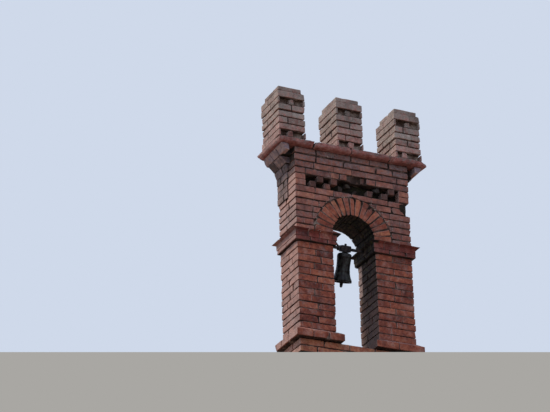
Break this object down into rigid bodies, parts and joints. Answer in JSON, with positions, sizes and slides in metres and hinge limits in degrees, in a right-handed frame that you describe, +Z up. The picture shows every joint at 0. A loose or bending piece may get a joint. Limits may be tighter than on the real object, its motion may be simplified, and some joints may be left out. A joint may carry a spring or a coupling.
{
  "type": "brick bell gable",
  "caption": "Small brick bell gable: two piers, a round arch with a hung bell and clapper, a chequered frieze, a moulded cornice and merlons.",
  "frame": {"origin": "on the ground under the middle of the base wall", "axes": "+X to the right seen from the front, +Y to the rear, +Z up"},
  "size_m": [1.62, 0.506, 2.743],
  "materials": {
    "old_brick": "hand-made brick laid in lime mortar, weathered",
    "moulded_terracotta": "moulded brick units, weathered, with lichen",
    "lime_mortar": "lime mortar, crumbling",
    "wrought_iron": "forged, rusted dark",
    "bell_bronze": "cast bell bronze, dark patina"
  },
  "bodies": {
    "masonry": {"arch_mortar": "lime_mortar", "arch_stilts": "old_brick", "arch_voussoirs": "old_brick", "bar_stay": "wrought_iron", "base_wall": "old_brick", "cornice_left": "moulded_terracotta", "cornice_mid_left": "moulded_terracotta", "cornice_mid_right": "moulded_terracotta", "cornice_right": "moulded_terracotta", "frieze_backing": "old_brick", "front_frieze_blocks_lower": "old_brick", "front_frieze_blocks_upper": "old_brick", "hanging_bar": "wrought_iron", "left_console": "old_brick", "left_frieze_end": "old_brick", "left_impost_cap": "moulded_terracotta", "left_impost_fillet": "moulded_terracotta", "left_merlon": "old_brick", "left_merlon_cap": "moulded_terracotta", "left_pier": "old_brick", "left_plinth": "old_brick", "left_side_fillet": "old_brick", "left_spandrel": "old_brick", "middle_merlon": "old_brick", "middle_merlon_cap": "moulded_terracotta", "rear_frieze_blocks_lower": "old_brick", "rear_frieze_blocks_upper": "old_brick", "right_console": "old_brick", "right_frieze_end": "old_brick", "right_impost_cap": "moulded_terracotta", "right_impost_fillet": "moulded_terracotta", "right_merlon": "old_brick", "right_merlon_cap": "moulded_terracotta", "right_pier": "old_brick", "right_plinth": "old_brick", "right_side_fillet": "old_brick", "right_spandrel": "old_brick", "upper_wall": "old_brick"},
    "bell": {"headstock": "wrought_iron", "hanger_nut": "wrought_iron", "bell": "bell_bronze", "bell_crown": "bell_bronze", "clapper_eye": "wrought_iron"},
    "clapper": {"clapper": "wrought_iron"}
  },
  "joints": [
    {"name": "bell_swing", "type": "hinge", "parent": "masonry", "child": "bell", "pos_m": [-0.01, 0, 1.223], "axis": [1, 0, 0], "range_deg": [-79, 41]},
    {"name": "clapper_swing", "type": "hinge", "parent": "bell", "child": "clapper", "pos_m": [-0.01, 0.02605, 1.14736], "axis": [1, 0, 0], "range_deg": [-11.5, 11.5]}
  ]
}
